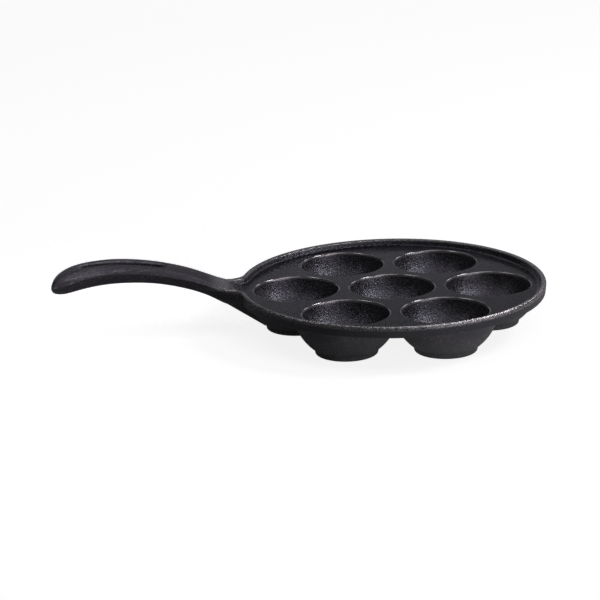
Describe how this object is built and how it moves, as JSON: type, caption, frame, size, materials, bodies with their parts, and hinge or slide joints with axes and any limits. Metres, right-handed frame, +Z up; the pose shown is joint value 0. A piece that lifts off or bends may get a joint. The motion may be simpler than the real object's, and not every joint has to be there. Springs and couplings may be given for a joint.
{
  "type": "aebleskiver pan",
  "caption": "Round cast-iron stovetop pan with hemispherical cups sunk in a flat plate, a raised rim, and an arched, waisted handle with a long hanging slot.",
  "frame": {"origin": "middle of the flat foot under the middle cup, on the surface that the pan stands on", "axes": "+Z up out of the cups, -X along the handle, +Y to the left of someone who looks along +X"},
  "size_m": [0.3699, 0.23, 0.0544],
  "materials": {
    "seasoned_iron": "black seasoned cast iron, satin, with a fine cast grain"
  },
  "bodies": {
    "root": {"plate": "seasoned_iron", "rim": "seasoned_iron", "center_cup": "seasoned_iron", "ring_cup_1": "seasoned_iron", "ring_cup_2": "seasoned_iron", "ring_cup_3": "seasoned_iron", "ring_cup_4": "seasoned_iron", "ring_cup_5": "seasoned_iron", "ring_cup_6": "seasoned_iron", "handle": "seasoned_iron", "neck": "seasoned_iron", "keel": "seasoned_iron"}
  },
  "joints": []
}
